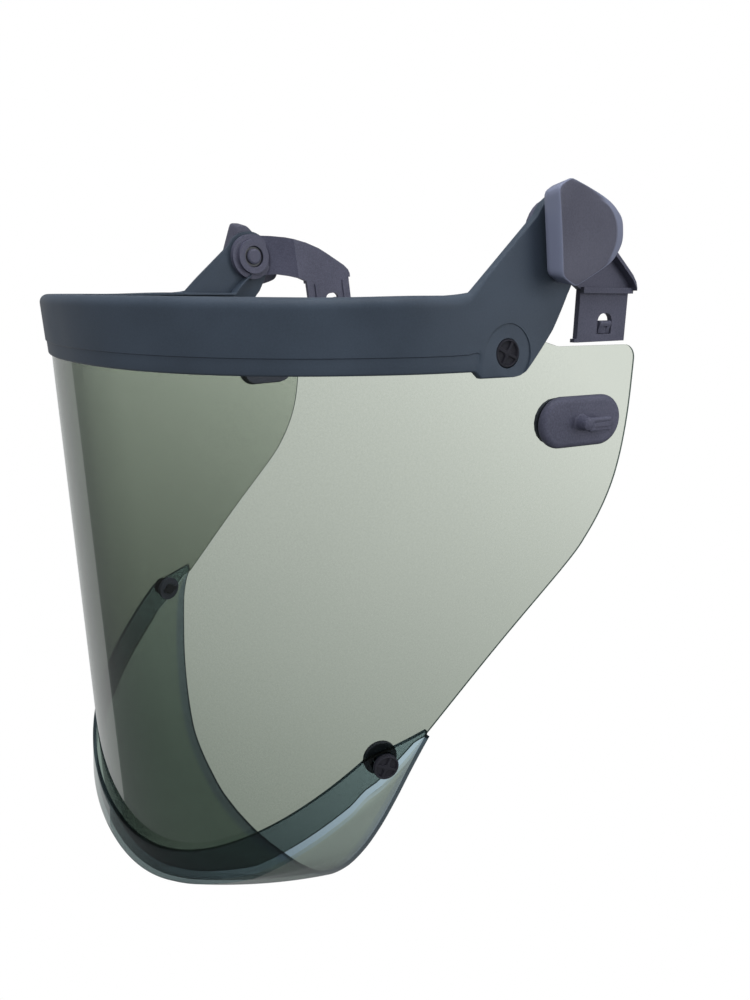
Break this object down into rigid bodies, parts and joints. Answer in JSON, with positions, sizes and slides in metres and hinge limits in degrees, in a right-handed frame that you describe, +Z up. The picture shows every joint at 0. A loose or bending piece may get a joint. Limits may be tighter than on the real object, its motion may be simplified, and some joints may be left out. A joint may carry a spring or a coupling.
{
  "type": "face shield",
  "caption": "Face shield with a tinted wrap-round window, brow bracket and chin guard, pivoting on two slot adapters that clip into a hard hat",
  "frame": {"origin": "middle of the pivot axis, on the plane of symmetry of the shield", "axes": "+X to the wearer's left along the pivot axis, -Y forward through the window, +Z up"},
  "size_m": [0.2844, 0.2252, 0.3205],
  "materials": {
    "brow_slate": "fine-grained moulded, matte",
    "adapter_grey": "fine-speckled moulded, satin",
    "knob_grey": "fine-grained moulded, satin",
    "fastener_black": "satin moulded",
    "window_tint": "clear grey-green tint, polished",
    "chin_smoke": "smoke-tinted translucent, polished",
    "steel": "plated",
    "rubber": "matte"
  },
  "bodies": {
    "shield": {"brow_bracket": "brow_slate", "window": "window_tint", "chin_guard": "chin_smoke", "left_pivot_bolt": "adapter_grey", "left_friction_washer": "rubber", "left_brow_receptacle": "adapter_grey", "left_chin_receptacle": "adapter_grey", "left_hook_plate": "adapter_grey", "left_backing_plate": "adapter_grey", "left_hook_rivet_front": "steel", "left_hook_rivet_rear": "steel", "right_pivot_bolt": "adapter_grey", "right_friction_washer": "rubber", "right_brow_receptacle": "adapter_grey", "right_chin_receptacle": "adapter_grey", "right_hook_plate": "adapter_grey", "right_backing_plate": "adapter_grey", "right_hook_rivet_front": "steel", "right_hook_rivet_rear": "steel"},
    "left_adapter_body": {"left_adapter": "adapter_grey", "left_spring_washer": "steel"},
    "left_latch_body": {"left_latch_tongue": "adapter_grey"},
    "left_knob_body": {"left_knob": "knob_grey", "left_knob_nut": "steel"},
    "left_brow_stud_body": {"left_brow_stud": "fastener_black"},
    "left_chin_stud_body": {"left_chin_stud": "fastener_black"},
    "right_adapter_body": {"right_adapter": "adapter_grey", "right_spring_washer": "steel"},
    "right_latch_body": {"right_latch_tongue": "adapter_grey"},
    "right_knob_body": {"right_knob": "knob_grey", "right_knob_nut": "steel"},
    "right_brow_stud_body": {"right_brow_stud": "fastener_black"},
    "right_chin_stud_body": {"right_chin_stud": "fastener_black"}
  },
  "joints": [
    {"name": "left_lift", "type": "hinge", "parent": "shield", "child": "left_adapter_body", "pos_m": [0.121, 0, 0], "axis": [1, 0, 0], "range_deg": [-15, 95]},
    {"name": "left_latch_flex", "type": "hinge", "parent": "left_adapter_body", "child": "left_latch_body", "pos_m": [0.1125, 0.0498, -0.0384], "axis": [0, 1, 0], "range_deg": [-12, 0], "stiffness_Nm_per_rad": 0.05},
    {"name": "left_knob_turn", "type": "hinge", "parent": "shield", "child": "left_knob_body", "pos_m": [0.1296, 0, 0], "axis": [1, 0, 0], "range_deg": [-90, 90]},
    {"name": "left_brow_stud_turn", "type": "hinge", "parent": "shield", "child": "left_brow_stud_body", "pos_m": [0.12592, -0.0265, -0.043], "axis": [0.9882, -0.1532, 0], "range_deg": [0, 90]},
    {"name": "left_chin_stud_turn", "type": "hinge", "parent": "shield", "child": "left_chin_stud_body", "pos_m": [0.11576, -0.0737, -0.2063], "axis": [0.9616, -0.2744, 0], "range_deg": [0, 90]},
    {"name": "right_lift", "type": "hinge", "parent": "shield", "child": "right_adapter_body", "pos_m": [-0.121, 0, 0], "axis": [1, 0, 0], "range_deg": [-23.5, 86.5]},
    {"name": "right_latch_flex", "type": "hinge", "parent": "right_adapter_body", "child": "right_latch_body", "pos_m": [-0.1125, 0.05493, -0.03062], "axis": [0, -0.989, -0.1478], "range_deg": [-12, 0], "stiffness_Nm_per_rad": 0.05},
    {"name": "right_knob_turn", "type": "hinge", "parent": "shield", "child": "right_knob_body", "pos_m": [-0.1296, 0, 0], "axis": [-1, 0, 0], "range_deg": [-90, 90]},
    {"name": "right_brow_stud_turn", "type": "hinge", "parent": "shield", "child": "right_brow_stud_body", "pos_m": [-0.12592, -0.0265, -0.043], "axis": [-0.9882, -0.1532, 0], "range_deg": [0, 90]},
    {"name": "right_chin_stud_turn", "type": "hinge", "parent": "shield", "child": "right_chin_stud_body", "pos_m": [-0.11576, -0.0737, -0.2063], "axis": [-0.9616, -0.2744, 0], "range_deg": [0, 90]}
  ]
}
